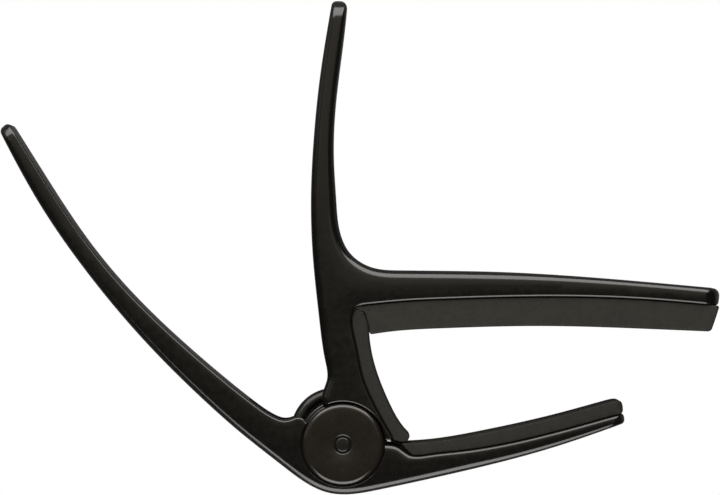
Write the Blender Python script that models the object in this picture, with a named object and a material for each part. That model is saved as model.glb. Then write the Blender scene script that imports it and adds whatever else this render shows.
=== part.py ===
"""Spring-loaded guitar capo, lying on its side.

Two castings turn on one pin. The frame casting carries the upper handle, the upper jaw and the spine
between them; the lever casting carries the lower handle and the lower jaw. A torsion spring between
them closes the jaws. The pivot's axis is the Z axis, and z = 0 is the outer face of the rear hub cap.
Outlines are drawn in millimetres in the XY plane, and are scaled to metres when a mesh is made.
"""

import math

import bmesh
import bpy
import numpy as np
from mathutils import Vector
from mathutils.geometry import delaunay_2d_cdt

MM = 0.001

# Widths along the pivot's axis, as distances from the mid-plane (mm)
MID_PLANE = 7.3
CASTING_HALF = 7.0
PAD_HALF = 6.5
CAP_FACE = 7.3
CAP_UNDERSIDE = 6.2
RECESS_FLOOR = 6.1
LEVER_BLANK_HALF = 6.6
LEVER_EAR_INNER = 5.0
FRAME_BLANK_HALF = 5.2
FRAME_EAR_OUTER = 4.6
SLOT_HALF = 3.9
SLEEVE_HALF = 3.8
CHANNEL_HALF = 3.85
LUG_HALF = 4.5
WEB_HALF = 4.9
CAP_GROOVE_DEPTH = 0.3
THROUGH = 9.0

# Radii about the pivot (mm)
BORE_RADIUS = 6.95
RECESS_RADIUS = 6.75
EAR_RADIUS = 6.7
CAP_RADIUS = 6.5
CAP_RIM = 0.85
PIN_BARREL_RADIUS = 1.5
PIN_END_RADIUS = 1.2
CAP_GROOVE_RADIUS = 1.43
BUSH_RADIUS = 2.2
BUSH_FLANGE_RADIUS = 4.0
SLEEVE_RADIUS = 1.9
RUNNING_CLEARANCE = 0.06
PRESS_CLEARANCE = 0.05

# Torsion spring (mm, degrees)
WIRE_RADIUS = 1.1
COIL_RADIUS = 5.9
COIL_CENTRE = np.array([-1.35, 1.81])
COIL_PITCH = 2.22
FULL_TURNS = 2
FRAME_LEG_ANGLE = 115.5
FRAME_LEG_LENGTH = 10.8
LEVER_LEG_ANGLE = 143.1
LEVER_LEG_LENGTH = 13.0
WIRE_CLEARANCE = 0.25
WIRE_TURN_STEP = 15
CHANNEL_START = 0.8
CHANNEL_EXTRA = 1.0
CHANNEL_MOUTH = 9.0
TRAVEL = 28.0
COIL_END_ARC = 110.0

# Pads (mm). Each rib and groove runs between two distances along its seat
PAD_GAP = 0.12
RIB_HALF = 2.0
RIB_ROOT = 1.0
RIB_CLEARANCE = 0.2
RIB_END_CLEARANCE = 0.5
STRING_RIB = 1.2
STRING_RIB_SPAN = (5.0, 50.0)
NECK_RIB = 0.8
NECK_RIB_SPAN = (4.0, 27.5)
SPINE_RIB = 0.8
SPINE_RIB_SPAN = (3.1, 6.7)

# Edge rounding (mm) and mesh fineness
BODY_EDGE = 1.4
BACK_EDGE = 1.2
TIP_EDGE = 0.8
JAW_END_EDGE = 0.6
SHOULDER_EDGE = 0.95
LEVER_TIP_EDGE = 0.45
SEAT_EDGE = 0.45
HUB_EDGE = 0.3
PAD_EDGE = 0.35
EDGE_BLEND = 1.5
CORNER_BLEND = 0.6
NEIGHBOUR = 0.055
INSET_SHARE = 0.7
SHORTEST_SIDE = 0.03
CHORD_ERROR = 0.03
LONGEST_SIDE = 6.0
SAMPLE = 0.2
CASTING_RINGS = 3
PAD_RINGS = 2
ROUND_STEPS = 48
SMALL_STEPS = 24

# Frame casting: handle tip, handle and jaw's upper side, jaw end, pad seats, hub, outer side
HANDLE_TIP = [(-1.7, 70.5), (0.8, 70.5)]
HANDLE_TO_JAW = [
    (0.8, 70.5), (0.3, 65.7), (-1.06, 54.6), (-1.42, 45.1), (-1.05, 38.7), (-0.5, 33.9), (0.84, 30.75),
    (2.6, 29.05), (5.1, 27.95), (9.0, 27.6), (24.95, 27.35), (40.8, 26.4), (59.95, 24.72),
]
JAW_END = [(59.95, 24.72), (59.92, 23.3), (59.6, 21.98)]
STRING_SEAT = [(59.6, 21.98), (48.8, 22.9), (32.9, 23.4), (17.0, 23.05), (9.1, 22.65), (2.1, 21.95)]
SPINE_SEAT = [
    (2.1, 21.95), (1.5, 20.3), (1.95, 16.5), (3.37, 10.1), (4.7, 6.97), (6.35, 3.85), (8.3, 0.45),
]
FRAME_FOOT = [(8.3, 0.45), (6.4, 0.74)]
FRAME_HUB = [(6.4, 0.74), (-2.6, 5.2)]
STOP_LUG = [
    (7.0, 1.6), (7.5, 0.62), (7.75, 0.3), (8.45, 0.1), (9.1, -0.28), (9.08, 0.28), (8.6, 0.42),
    (8.2, 0.6), (7.7, 1.4),
]
FRAME_BACK = [
    (-2.6, 5.2), (-3.4, 6.9), (-2.98, 8.87), (-2.5, 10.6), (-2.84, 13.3), (-3.76, 19.7), (-4.75, 29.2),
    (-5.1, 38.7), (-4.68, 48.2), (-3.73, 57.8), (-1.7, 70.5),
]

# Lever casting: handle tip, inner side, hub, shoulder, neck pad's seat, jaw end, outer side
LEVER_TIP = [(-54.65, 50.0), (-53.1, 51.25)]
LEVER_INNER = [
    (-53.1, 51.25), (-47.4, 42.15), (-40.9, 32.45), (-34.25, 24.45), (-26.05, 16.45), (-18.5, 9.95),
    (-14.35, 6.65), (-11.05, 4.45), (-9.4, 3.9), (-8.3, 4.05), (-7.2, 4.4), (-6.3, 4.2), (-5.7, 3.5),
]
LEVER_HUB = [(-5.7, 3.5), (4.5, 0.06)]
LEVER_SHOULDER = [(4.5, 0.06), (6.4, 0.15), (7.65, 0.08), (8.8, -0.25), (9.9, -1.0), (10.9, -1.68)]
NECK_SEAT = [(10.9, -1.68), (11.6, -1.76), (13.8, -1.55), (18.6, -1.0), (31.3, 1.41), (44.65, 5.06)]
LEVER_JAW_END = [(44.65, 5.06), (44.85, 3.42)]
LEVER_OUTER = [
    (44.85, 3.42), (34.0, -0.33), (16.3, -4.94), (5.4, -7.3), (0.6, -8.0), (-2.56, -7.65), (-5.43, -6.4),
    (-9.7, -3.35), (-16.7, 2.2), (-22.06, 6.97), (-31.6, 16.5), (-40.87, 27.6), (-48.5, 38.7), (-54.65, 50.0),
]
HEEL_WEB = [(9.0, -0.62), (9.38, -0.2), (9.5, -0.15), (10.95, -1.75), (10.9, -2.1), (9.9, -1.4)]

# Working sides of the pads, drawn from their left or upper end
STRING_PAD_FACE = [(4.2, 17.4), (6.4, 17.75), (15.3, 18.4), (31.3, 18.78), (48.8, 18.3), (58.0, 17.9)]
STRING_PAD_END = [(58.0, 17.9), (58.85, 19.95), (59.65, 21.95)]
STRING_PAD_HEEL = [(2.55, 21.85), (3.2, 21.3), (3.68, 20.3), (4.06, 18.9), (4.2, 17.4)]
SPINE_PAD_FACE = [
    (3.02, 21.2), (3.52, 20.2), (3.9, 18.9), (4.1, 17.1), (4.9, 13.2), (7.3, 6.65), (9.95, 2.0), (10.5, 1.45),
]
SPINE_PAD_FOOT = [(10.5, 1.45), (9.95, 0.6), (9.25, 0.45), (8.5, 0.58)]
NECK_PAD_FACE = [
    (9.22, 0.24), (10.4, 0.22), (11.6, 0.27), (14.6, 0.53), (22.3, 1.84), (32.6, 4.1), (42.0, 6.64),
]
NECK_PAD_END = [(42.0, 6.64), (44.2, 6.75), (44.6, 5.2)]

# Ends whose corners are rounded as seen face on: a point at the end, its direction, the corner's radius
FRAME_ENDS = [((-0.5, 70.53), 90, 3.2), ((59.95, 23.4), 0, 2.9)]
LEVER_ENDS = [((-54.0, 50.75), 128, 2.8), ((44.85, 4.1), 15, 2.4)]
STRING_PAD_ENDS = [((59.6, 20.4), 0, 0.6)]
NECK_PAD_ENDS = [((44.5, 6.0), 15, 1.0)]
END_REACH = 6.0


def spline(points):
    """Points every SAMPLE mm along the natural cubic spline through the given points."""
    p = np.array(points, float)
    knots = np.r_[0, np.cumsum(np.linalg.norm(np.diff(p, axis=0), axis=1))]
    gaps = np.diff(knots)
    system = np.eye(len(p))
    right = np.zeros_like(p)
    for i in range(1, len(p) - 1):
        system[i, i - 1 : i + 2] = gaps[i - 1], 2 * (gaps[i - 1] + gaps[i]), gaps[i]
        right[i] = 6 * ((p[i + 1] - p[i]) / gaps[i] - (p[i] - p[i - 1]) / gaps[i - 1])
    bend = np.linalg.solve(system, right)
    t = np.linspace(0, knots[-1], max(3, round(knots[-1] / SAMPLE) + 1))
    i = np.clip(np.searchsorted(knots, t, side="right") - 1, 0, len(gaps) - 1)
    b = ((t - knots[i]) / gaps[i])[:, None]
    a = 1 - b
    span = (gaps[i] ** 2)[:, None] / 6
    return a * p[i] + b * p[i + 1] + ((a**3 - a) * bend[i] + (b**3 - b) * bend[i + 1]) * span


def lengths(path):
    return np.r_[0, np.cumsum(np.linalg.norm(np.diff(path, axis=0), axis=1))]


def section(path, start, end):
    """The stretch of a path between two distances along it."""
    along = lengths(path)
    inside = (along > start + 1e-6) & (along < end - 1e-6)
    ends = [[np.interp(s, along, path[:, k]) for k in (0, 1)] for s in (start, end)]
    return np.vstack([ends[:1], path[inside], ends[1:]])


def unit(vector):
    return vector / np.linalg.norm(vector)


def turn_between(u, v):
    return math.atan2(abs(u[0] * v[1] - u[1] * v[0]), float(u @ v))


def corner_arc(start, u, end, v):
    """A curve close to a circle's arc, from start along u to end along v."""
    turn = turn_between(u, v)
    handle = np.linalg.norm(end - start) * 2 / 3 * math.tan(turn / 4) / math.sin(turn / 2)
    t = np.linspace(0, 1, 13)[:, None]
    b, c = start + handle * u, end - handle * v
    return (1 - t) ** 3 * start + 3 * (1 - t) ** 2 * t * b + 3 * (1 - t) * t**2 * c + t**3 * end


def closed_outline(runs):
    """A closed outline from (path, edge radius, corner radius at the path's end) in order round it.

    It gives the points, counterclockwise, and the edge radius at each.
    """
    paths = [run[0] for run in runs]
    cuts = []
    for k, (path, _, corner) in enumerate(runs):
        following = paths[(k + 1) % len(runs)]
        turn = turn_between(unit(path[-1] - path[-3]), unit(following[2] - following[0]))
        cuts.append(corner * math.tan(turn / 2))
    points, edges = [], []
    for k, (path, edge, _) in enumerate(runs):
        following, next_edge, _ = runs[(k + 1) % len(runs)]
        trimmed = section(path, cuts[k - 1], lengths(path)[-1] - cuts[k])
        points.append(trimmed[:-1])
        edges.append(np.full(len(trimmed) - 1, edge))
        after = section(following, cuts[k], lengths(following)[-1])
        arc = corner_arc(trimmed[-1], unit(trimmed[-1] - trimmed[-2]), after[0], unit(after[1] - after[0]))
        points.append(arc[:-1])
        edges.append(np.linspace(edge, next_edge, len(arc))[:-1])
    points, edges = np.vstack(points), np.concatenate(edges)
    apart = np.linalg.norm(points - np.roll(points, 1, axis=0), axis=1) > SHORTEST_SIDE
    points, edges = points[apart], edges[apart]
    x, y = points.T
    if (x * np.roll(y, -1) - y * np.roll(x, -1)).sum() < 0:
        points, edges = points[::-1], edges[::-1]
    return points, limited(points, smoothed(points, edges, EDGE_BLEND))


def smoothed(points, values, reach):
    """Values round a closed outline, averaged over a distance either way."""
    along = lengths(np.vstack([points, points[:1]]))
    total = along[-1]
    away = np.abs((along[None, :-1] - along[:-1, None] + total / 2) % total - total / 2)
    weight = np.clip(1 - away / reach, 0, None)
    return (weight * values).sum(1) / weight.sum(1)


def limited(points, edges):
    """Edge radii kept below the radius of the largest circle that fits inside the outline at each point."""
    toward = points[None] - points[:, None]
    size = (toward**2).sum(2)
    depth = (toward * inward(points)[:, None]).sum(2)
    beside = (depth > 1e-6) & (size > NEIGHBOUR**2)
    fits = INSET_SHARE * np.where(beside, size / (2 * np.maximum(depth, 1e-6)), np.inf).min(1)
    return np.minimum(smoothed(points, np.minimum(edges, fits), CORNER_BLEND), fits)


def half_widths(points, half, ends):
    """The half width at each point: less towards an end whose corners are rounded face on."""
    widths = np.full(len(points), float(half))
    for place, degrees, radius in ends:
        away = points - np.array(place)
        inside = np.clip(radius + away @ direction(degrees), 0, radius)
        corner = radius - np.sqrt(radius**2 - inside**2)
        widths -= np.where(np.linalg.norm(away, axis=1) < END_REACH, corner, 0)
    return widths


def thinned(points, edges, widths):
    """The fewest of a closed outline's points that stay within CHORD_ERROR of it."""
    solid = np.c_[points, widths]
    kept = [0]
    i = 0
    while i < len(points) - 1:
        j = i + 1
        while j < len(points) - 1:
            chord = solid[j + 1] - solid[i]
            size = np.linalg.norm(chord)
            between = solid[i + 1 : j + 1] - solid[i]
            off = np.linalg.norm(np.cross(between, chord), axis=1).max() / size
            if off > CHORD_ERROR or size > LONGEST_SIDE:
                break
            j += 1
        kept.append(j)
        i = j
    kept = kept[:-1]
    return points[kept], edges[kept]


def inward(points):
    """The inward normal at each point of a counterclockwise outline."""
    before = points - np.roll(points, 1, axis=0)
    after = np.roll(points, -1, axis=0) - points
    along = before / np.linalg.norm(before, axis=1)[:, None] + after / np.linalg.norm(after, axis=1)[:, None]
    along /= np.linalg.norm(along, axis=1)[:, None]
    return np.c_[-along[:, 1], along[:, 0]]


def shifted(path, distance):
    """An open path moved sideways, to the left of its direction."""
    along = np.gradient(path, axis=0)
    along /= np.linalg.norm(along, axis=1)[:, None]
    return path + distance * np.c_[-along[:, 1], along[:, 0]]


def filling(ring):
    """The triangles inside a closed ring, as seen along the pivot's axis."""
    flat = [Vector((x / MM, y / MM)) for x, y, _ in ring]
    sides = [(i, (i + 1) % len(flat)) for i in range(len(flat))]
    _, _, triangles, sources, _, _ = delaunay_2d_cdt(flat, sides, [], 1, 1e-6)
    return [[sources[i][0] for i in triangle] for triangle in triangles]


def finish_object(name, bm):
    bmesh.ops.recalc_face_normals(bm, faces=bm.faces)
    mesh = bpy.data.meshes.new(name)
    bm.to_mesh(mesh)
    bm.free()
    obj = bpy.data.objects.new(name, mesh)
    bpy.context.scene.collection.objects.link(obj)
    return obj


def slab(name, runs, half, rings, ends=()):
    """A flat piece with rounded edges, centred on the mid-plane."""
    points, edges = closed_outline(runs)
    points, edges = thinned(points, edges, half_widths(points, half, ends))
    normals = inward(points)
    bm = bmesh.new()
    layers = []
    for side in (-1, 1):
        for step in range(rings + 1):
            angle = math.pi / 2 * step / rings
            ring = points + normals * (edges * (1 - math.cos(angle)))[:, None]
            height = MID_PLANE + side * (half_widths(ring, half, ends) - edges * (1 - math.sin(angle)))
            layers.append([bm.verts.new((x * MM, y * MM, z * MM)) for (x, y), z in zip(ring, height)])
    lower, upper = layers[: rings + 1][::-1], layers[rings + 1 :]
    stack = lower + upper
    for below, above in zip(stack, stack[1:]):
        for i in range(len(points)):
            j = (i + 1) % len(points)
            bm.faces.new((below[i], below[j], above[j], above[i]))
    for ring in (stack[0], stack[-1]):
        for triangle in filling([corner.co for corner in ring]):
            bm.faces.new([ring[i] for i in triangle])
    return finish_object(name, bm)


def prism(name, outline, half):
    """A plain prism of an XY outline, centred on the mid-plane."""
    bm = bmesh.new()
    base = bm.faces.new([bm.verts.new((x * MM, y * MM, (MID_PLANE - half) * MM)) for x, y in outline])
    raised = bmesh.ops.extrude_face_region(bm, geom=[base])["geom"]
    top = [item for item in raised if isinstance(item, bmesh.types.BMVert)]
    bmesh.ops.translate(bm, verts=top, vec=(0, 0, 2 * half * MM))
    return finish_object(name, bm)


def band(name, path, low, high, half):
    """A prism along a path, from low to high mm to its left."""
    return prism(name, np.vstack([shifted(path, low), shifted(path, high)[::-1]]), half)


def turned(name, profile, steps, centre=(0, 0)):
    """A closed (radius, height) profile turned about a vertical axis."""
    bm = bmesh.new()
    corners = [bm.verts.new((r * MM, 0, z * MM)) for r, z in profile]
    edges = [bm.edges.new((a, b)) for a, b in zip(corners, corners[1:] + corners[:1])]
    edges = [e for e in edges if max(v.co.x for v in e.verts) > 0]
    bmesh.ops.spin(bm, geom=corners + edges, angle=2 * math.pi, steps=steps, axis=(0, 0, 1), use_merge=True)
    bmesh.ops.remove_doubles(bm, verts=bm.verts, dist=1e-7)
    obj = finish_object(name, bm)
    obj.location = (centre[0] * MM, centre[1] * MM, 0)
    return obj


def disc(name, radius, low, high, steps=ROUND_STEPS, centre=(0, 0)):
    """A plain cylinder between two distances from the mid-plane."""
    low, high = MID_PLANE + low, MID_PLANE + high
    return turned(name, [(0, low), (radius, low), (radius, high), (0, high)], steps, centre)


def combine(obj, joined, removed=()):
    """Joins helpers to an object, then cuts others from it, and hides them all."""
    for tools, operation in ((joined, "UNION"), (removed, "DIFFERENCE")):
        for tool in tools:
            modifier = obj.modifiers.new(tool.name, "BOOLEAN")
            modifier.operation = operation
            modifier.object = tool
            modifier.solver = "EXACT"
            tool.hide_render = True
            tool.display_type = "WIRE"


def material(name, colour, roughness, metallic):
    made = bpy.data.materials.new(name)
    made.use_nodes = True
    shader = made.node_tree.nodes["Principled BSDF"]
    shader.inputs["Base Color"].default_value = (*colour, 1)
    shader.inputs["Roughness"].default_value = roughness
    shader.inputs["Metallic"].default_value = metallic
    return made


def dress(obj, surface, parent=None):
    obj.data.materials.append(surface)
    if obj.type == "MESH":
        obj.data.shade_smooth()
        obj.data.set_sharp_from_angle(angle=math.radians(35))
    if parent:
        obj.parent = parent
        obj.matrix_parent_inverse = parent.matrix_world.inverted()


def direction(degrees):
    return np.array([math.cos(math.radians(degrees)), math.sin(math.radians(degrees))])


def leg_start(leg_angle):
    """Where a leg leaves the coil: the coil lies to the left of the outgoing frame leg."""
    return COIL_CENTRE + COIL_RADIUS * direction(leg_angle - 90)


def channel(name, start, angle, length, side):
    """The groove for a spring leg, open on the side away from the leg's load."""
    along, across = direction(angle), side * direction(angle - 90)
    near, far = start + along * CHANNEL_START, start + along * (length + CHANNEL_EXTRA)
    floor, mouth = across * (WIRE_RADIUS + WIRE_CLEARANCE), -across * CHANNEL_MOUTH
    return prism(name, [near + floor, far + floor, far + mouth, near + mouth], CHANNEL_HALF)


def coil_sweep(steps=16):
    """The outline that clears the coil while the lever turns by its travel."""
    radius = COIL_RADIUS + WIRE_RADIUS + WIRE_CLEARANCE
    reach = float(np.linalg.norm(COIL_CENTRE))
    heading = math.degrees(math.atan2(COIL_CENTRE[1], COIL_CENTRE[0]))
    outline = []
    for turn, first in ((0, heading - COIL_END_ARC), (TRAVEL, heading + TRAVEL)):
        centre = reach * direction(heading + turn)
        places = [first + COIL_END_ARC * i / steps for i in range(steps + 1)]
        outline += [centre + radius * direction(place) for place in places]
    return outline


def frame_casting():
    """Upper handle, jaw and spine, with a forked hub of two inner ears."""
    runs = [
        (spline(HANDLE_TIP), TIP_EDGE, 1.15),
        (spline(HANDLE_TO_JAW), BODY_EDGE, 1.4),
        (spline(JAW_END), JAW_END_EDGE, 0.65),
        (spline(STRING_SEAT), SEAT_EDGE, 0.5),
        (spline(SPINE_SEAT), SEAT_EDGE, 0.45),
        (spline(FRAME_FOOT), HUB_EDGE, 0.3),
        (spline(FRAME_HUB), HUB_EDGE, 0.3),
        (spline(FRAME_BACK), BACK_EDGE, 0.9),
    ]
    obj = slab("frame_casting", runs, CASTING_HALF, CASTING_RINGS, FRAME_ENDS)
    ears = disc("frame_ears", EAR_RADIUS, -FRAME_BLANK_HALF, FRAME_BLANK_HALF)
    coil_room = COIL_RADIUS + WIRE_RADIUS + WIRE_CLEARANCE
    start = leg_start(FRAME_LEG_ANGLE)
    removed = [
        disc("frame_bore_front", BORE_RADIUS, FRAME_EAR_OUTER, THROUGH),
        disc("frame_bore_rear", BORE_RADIUS, -THROUGH, -FRAME_EAR_OUTER),
        disc("frame_spring_slot", BORE_RADIUS, -SLOT_HALF, SLOT_HALF),
        disc("frame_coil_slot", coil_room, -CHANNEL_HALF, CHANNEL_HALF, centre=COIL_CENTRE),
        channel("frame_leg_channel", start, FRAME_LEG_ANGLE, FRAME_LEG_LENGTH, 1),
        disc("frame_bush_hole", BUSH_RADIUS + PRESS_CLEARANCE, -THROUGH, THROUGH, SMALL_STEPS),
        groove("string_groove", STRING_SEAT, STRING_RIB_SPAN, STRING_RIB),
        groove("spine_groove", SPINE_SEAT, SPINE_RIB_SPAN, SPINE_RIB),
    ]
    combine(obj, [ears, prism("stop_lug", STOP_LUG, LUG_HALF)], removed)
    return obj


def lever_casting():
    """Lower handle and jaw, with a forked hub of two outer ears."""
    runs = [
        (spline(LEVER_TIP), LEVER_TIP_EDGE, 0.75),
        (spline(LEVER_INNER), LEVER_TIP_EDGE, 0.3),
        (spline(LEVER_HUB), HUB_EDGE, 0.3),
        (spline(LEVER_SHOULDER), SHOULDER_EDGE, 0.8),
        (spline(NECK_SEAT), JAW_END_EDGE, 0.6),
        (spline(LEVER_JAW_END), JAW_END_EDGE, 0.75),
        (spline(LEVER_OUTER), BACK_EDGE, 0.9),
    ]
    obj = slab("lever_casting", runs, CASTING_HALF, CASTING_RINGS, LEVER_ENDS)
    ears = disc("lever_ears", EAR_RADIUS, -LEVER_BLANK_HALF, LEVER_BLANK_HALF)
    start = 2 * COIL_CENTRE - leg_start(LEVER_LEG_ANGLE)
    removed = [
        disc("lever_recess_front", RECESS_RADIUS, RECESS_FLOOR, THROUGH),
        disc("lever_recess_rear", RECESS_RADIUS, -THROUGH, -RECESS_FLOOR),
        disc("lever_bore", BORE_RADIUS, -LEVER_EAR_INNER, LEVER_EAR_INNER),
        prism("lever_coil_slot", coil_sweep(), SLOT_HALF),
        channel("lever_leg_channel", start, LEVER_LEG_ANGLE, LEVER_LEG_LENGTH, -1),
        disc("lever_pin_hole", PIN_BARREL_RADIUS + RUNNING_CLEARANCE, -THROUGH, THROUGH, SMALL_STEPS),
        groove("neck_groove", NECK_SEAT, NECK_RIB_SPAN, NECK_RIB),
    ]
    combine(obj, [ears, prism("heel_web", HEEL_WEB, WEB_HALF)], removed)
    return obj


def groove(name, seat, span, depth):
    """The groove that takes a pad's rib: the casting lies to the right of its seat."""
    path = section(spline(seat), span[0] - RIB_END_CLEARANCE, span[1] + RIB_END_CLEARANCE)
    return band(name, path, RIB_ROOT, -(depth + RIB_CLEARANCE), RIB_HALF + RIB_CLEARANCE)


def rib(name, seat, span, height):
    """The rib on a pad's back, which keys into the casting's groove."""
    return band(name, section(spline(seat), *span), RIB_ROOT, -height, RIB_HALF)


def pad(name, runs, ends=()):
    """A rubber pad, from (path, corner radius at the path's end) in order round it."""
    return slab(name, [(path, PAD_EDGE, corner) for path, corner in runs], PAD_HALF, PAD_RINGS, ends)


def seat_line(points, start, end):
    """The back of a pad: its seat, moved off the casting by the pad's gap."""
    return shifted(section(spline(points), start, end), PAD_GAP)


def string_pad():
    whole = lengths(spline(STRING_SEAT))[-1]
    back = seat_line(STRING_SEAT, 0.02, whole - 0.55)
    end = spline(STRING_PAD_END[:-1] + [tuple(back[0])])
    heel = spline([tuple(back[-1])] + STRING_PAD_HEEL[1:])
    runs = [(back, 0.5), (heel, 0.5), (spline(STRING_PAD_FACE), 0.45), (end, 0.15)]
    obj = pad("string_pad", runs, STRING_PAD_ENDS)
    combine(obj, [rib("string_pad_rib", STRING_SEAT, STRING_RIB_SPAN, STRING_RIB)])
    return obj


def spine_pad():
    whole = lengths(spline(SPINE_SEAT))[-1]
    back = seat_line(SPINE_SEAT, 0.9, whole - 0.35)
    top = spline([SPINE_PAD_FACE[0], tuple(back[0])])
    foot = spline(SPINE_PAD_FOOT[:-1] + [tuple(back[-1])])
    runs = [(back, 0.3), (foot[::-1], 0.2), (spline(SPINE_PAD_FACE)[::-1], 0.4), (top, 0.5)]
    obj = pad("spine_pad", runs)
    combine(obj, [rib("spine_pad_rib", SPINE_SEAT, SPINE_RIB_SPAN, SPINE_RIB)])
    return obj


def neck_pad():
    whole = lengths(spline(NECK_SEAT))[-1]
    back = seat_line(NECK_SEAT, 0.05, whole - 0.2)
    heel = spline([NECK_PAD_FACE[0], tuple(back[0])])
    end = spline(NECK_PAD_END[:-1] + [tuple(back[-1])])
    runs = [(back, 0.3), (end[::-1], 0.6), (spline(NECK_PAD_FACE)[::-1], 0.1), (heel, 0.15)]
    obj = pad("neck_pad", runs, NECK_PAD_ENDS)
    combine(obj, [rib("neck_pad_rib", NECK_SEAT, NECK_RIB_SPAN, NECK_RIB)])
    return obj


def hub_cap(name, side):
    """A round cap with a rounded rim and a groove round the pin."""
    hole = PIN_END_RADIUS + PRESS_CLEARANCE
    groove_floor = CAP_FACE - CAP_GROOVE_DEPTH
    profile = [(hole, CAP_UNDERSIDE), (CAP_RADIUS, CAP_UNDERSIDE)]
    for degrees in (0, 30, 60, 90):
        x, y = CAP_RIM * direction(degrees)
        profile.append((CAP_RADIUS - CAP_RIM + x, CAP_FACE - CAP_RIM + y))
    profile += [(CAP_GROOVE_RADIUS, CAP_FACE), (CAP_GROOVE_RADIUS, groove_floor), (hole, groove_floor)]
    return turned(name, [(r, MID_PLANE + side * z) for r, z in profile], ROUND_STEPS)


def pivot_pin():
    """A shouldered pin: a barrel between the caps, and thinner ends through them."""
    end, barrel = CAP_FACE, RECESS_FLOOR
    half = [(PIN_END_RADIUS, end), (PIN_END_RADIUS, barrel), (PIN_BARREL_RADIUS, barrel)]
    profile = [(0, -end)] + [(r, -z) for r, z in half] + half[::-1] + [(0, end)]
    return turned("pivot_pin", [(r, MID_PLANE + z) for r, z in profile], SMALL_STEPS)


def bush(name, side):
    """A flanged bush in a frame ear: its flange keeps the lever ear off the frame ear."""
    hole = PIN_BARREL_RADIUS + RUNNING_CLEARANCE
    inner, shoulder = SLOT_HALF, FRAME_EAR_OUTER + PRESS_CLEARANCE
    outer = LEVER_EAR_INNER - PRESS_CLEARANCE
    profile = [(hole, inner), (BUSH_RADIUS, inner), (BUSH_RADIUS, shoulder), (BUSH_FLANGE_RADIUS, shoulder)]
    profile += [(BUSH_FLANGE_RADIUS, outer), (hole, outer)]
    return turned(name, [(r, MID_PLANE + side * z) for r, z in profile], SMALL_STEPS)


def spring_sleeve():
    """A spacer round the pin, inside the coil."""
    hole = PIN_BARREL_RADIUS + RUNNING_CLEARANCE
    low, high = MID_PLANE - SLEEVE_HALF, MID_PLANE + SLEEVE_HALF
    profile = [(hole, low), (SLEEVE_RADIUS, low), (SLEEVE_RADIUS, high), (hole, high)]
    return turned("spring_sleeve", profile, SMALL_STEPS)


def spring_path():
    """The wire's centre line: in along the frame's leg, round the coil, and out along the lever's leg."""
    first = FRAME_LEG_ANGLE - 90
    last = LEVER_LEG_ANGLE + 90
    sweep = 360 * FULL_TURNS + (first - last) % 360
    rise = COIL_PITCH * sweep / 360
    top = MID_PLANE + rise / 2
    frame_end = leg_start(FRAME_LEG_ANGLE) + FRAME_LEG_LENGTH * direction(FRAME_LEG_ANGLE)
    lever_end = 2 * COIL_CENTRE - leg_start(LEVER_LEG_ANGLE) + LEVER_LEG_LENGTH * direction(LEVER_LEG_ANGLE)
    path = [(*frame_end, top)]
    steps = round(sweep / WIRE_TURN_STEP)
    for i in range(steps + 1):
        point = COIL_CENTRE + COIL_RADIUS * direction(first - sweep * i / steps)
        path.append((*point, top - rise * i / steps))
    path.append((*lever_end, top - rise))
    return path


def torsion_spring():
    """Round wire swept along the spring's path."""
    curve = bpy.data.curves.new("torsion_spring", "CURVE")
    curve.dimensions = "3D"
    curve.bevel_depth = WIRE_RADIUS * MM
    curve.bevel_resolution = 2
    curve.use_fill_caps = True
    line = curve.splines.new("POLY")
    path = spring_path()
    line.points.add(len(path) - 1)
    for point, place in zip(line.points, path):
        point.co = (*(np.array(place) * MM), 1)
    obj = bpy.data.objects.new("torsion_spring", curve)
    bpy.context.scene.collection.objects.link(obj)
    return obj


def build():
    for obj in list(bpy.data.objects):
        bpy.data.objects.remove(obj)
    paint = material("black_enamel", (0.012, 0.011, 0.010), 0.3, 0.0)
    rubber = material("pad_rubber", (0.036, 0.034, 0.028), 0.75, 0.0)
    dark_steel = material("blackened_steel", (0.03, 0.028, 0.026), 0.35, 0.9)
    nylon = material("bearing_nylon", (0.6, 0.58, 0.52), 0.5, 0.0)
    pivot = bpy.data.objects.new("lever_pivot_axis", None)
    pivot.location = (0, 0, MID_PLANE * MM)
    bpy.context.scene.collection.objects.link(pivot)
    bpy.context.view_layer.update()
    dress(frame_casting(), paint)
    dress(string_pad(), rubber)
    dress(spine_pad(), rubber)
    dress(pivot_pin(), dark_steel)
    dress(spring_sleeve(), nylon)
    dress(torsion_spring(), dark_steel)
    for name, side in (("front", 1), ("rear", -1)):
        dress(hub_cap("hub_cap_" + name, side), paint)
        dress(bush("bush_" + name, side), nylon)
    dress(lever_casting(), paint, pivot)
    dress(neck_pad(), rubber, pivot)


build()
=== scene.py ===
"""Guitar capo: the looks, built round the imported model."""

import math

import bmesh
import bpy
import numpy as np
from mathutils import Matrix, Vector
from mathutils.geometry import delaunay_2d_cdt


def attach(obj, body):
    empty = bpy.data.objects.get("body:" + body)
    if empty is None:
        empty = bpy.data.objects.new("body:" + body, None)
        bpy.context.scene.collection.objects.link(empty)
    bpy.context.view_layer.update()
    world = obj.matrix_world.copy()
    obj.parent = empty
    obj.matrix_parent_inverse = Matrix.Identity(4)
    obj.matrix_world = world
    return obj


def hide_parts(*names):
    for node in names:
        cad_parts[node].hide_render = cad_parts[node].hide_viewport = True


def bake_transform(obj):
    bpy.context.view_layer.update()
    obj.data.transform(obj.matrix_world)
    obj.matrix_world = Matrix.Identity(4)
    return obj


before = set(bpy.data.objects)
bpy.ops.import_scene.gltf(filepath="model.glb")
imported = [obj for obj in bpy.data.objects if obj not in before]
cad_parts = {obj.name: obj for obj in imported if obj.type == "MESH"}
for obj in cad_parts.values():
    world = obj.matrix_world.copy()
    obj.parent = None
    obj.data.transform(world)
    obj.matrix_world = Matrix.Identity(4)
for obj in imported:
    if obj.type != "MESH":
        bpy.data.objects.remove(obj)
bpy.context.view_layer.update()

MM = 0.001

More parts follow.
